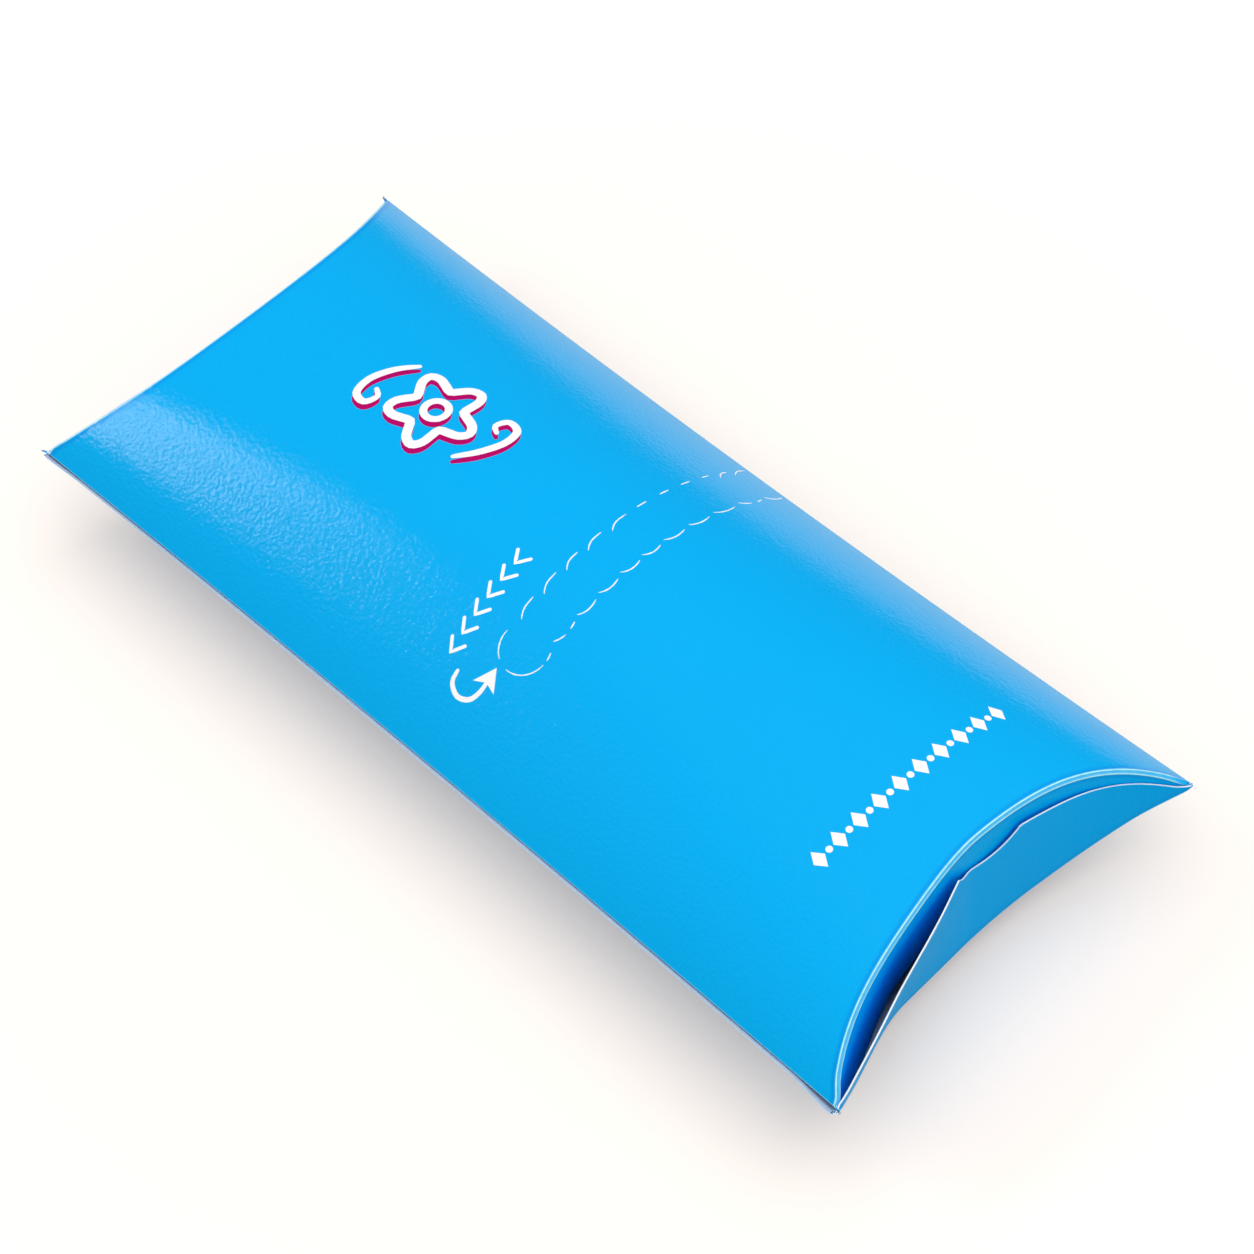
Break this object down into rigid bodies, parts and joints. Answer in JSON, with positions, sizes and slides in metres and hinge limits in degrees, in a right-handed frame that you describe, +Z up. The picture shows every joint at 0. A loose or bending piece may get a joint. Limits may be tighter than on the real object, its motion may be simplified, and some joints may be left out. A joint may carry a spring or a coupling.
{
  "type": "pillow box",
  "caption": "Pillow-shaped gift box folded from glossy blue board, with curved end flaps, a thumb notch at each end and a scalloped tear strip across the top",
  "frame": {"origin": "under the middle of the box, in the plane of the flat that the belly rests on", "axes": "X along the box towards the near end, Y across it from the glued seam towards the plain fold, Z up"},
  "size_m": [0.2392, 0.1002, 0.0427],
  "materials": {
    "coated_board": "gloss",
    "bare_board": "matte"
  },
  "bodies": {
    "box": {"top_panel": "coated_board", "bottom_panel": "coated_board", "glue_flap": "bare_board"},
    "near_outer": {"near_outer_flap": "coated_board"},
    "near_inner": {"near_inner_flap": "coated_board"},
    "far_outer": {"far_outer_flap": "coated_board"},
    "far_inner": {"far_inner_flap": "coated_board"},
    "strip": {"tear_strip": "coated_board"}
  },
  "joints": [
    {"name": "near_outer_crease", "type": "hinge", "parent": "box", "child": "near_outer", "pos_m": [0.1041, 0, 0.0054], "axis": [0, 1, 0], "range_deg": [0, 90]},
    {"name": "near_inner_crease", "type": "hinge", "parent": "box", "child": "near_inner", "pos_m": [0.10303, 0, 0.0372], "axis": [0, -1, 0], "range_deg": [0, 45]},
    {"name": "far_outer_crease", "type": "hinge", "parent": "box", "child": "far_outer", "pos_m": [-0.1041, 0, 0.0054], "axis": [0, -1, 0], "range_deg": [0, 90]},
    {"name": "far_inner_crease", "type": "hinge", "parent": "box", "child": "far_inner", "pos_m": [-0.10303, 0, 0.0372], "axis": [0, 1, 0], "range_deg": [0, 45]},
    {"name": "tear_hinge", "type": "hinge", "parent": "box", "child": "strip", "pos_m": [0.0037, 0.0488, 0.0213], "axis": [-1, 0, 0], "range_deg": [0, 120]}
  ],
  "couplings": [
    {"joint": "near_inner_crease", "follows": "near_outer_crease", "ratio": 0.5},
    {"joint": "far_inner_crease", "follows": "far_outer_crease", "ratio": 0.5}
  ]
}
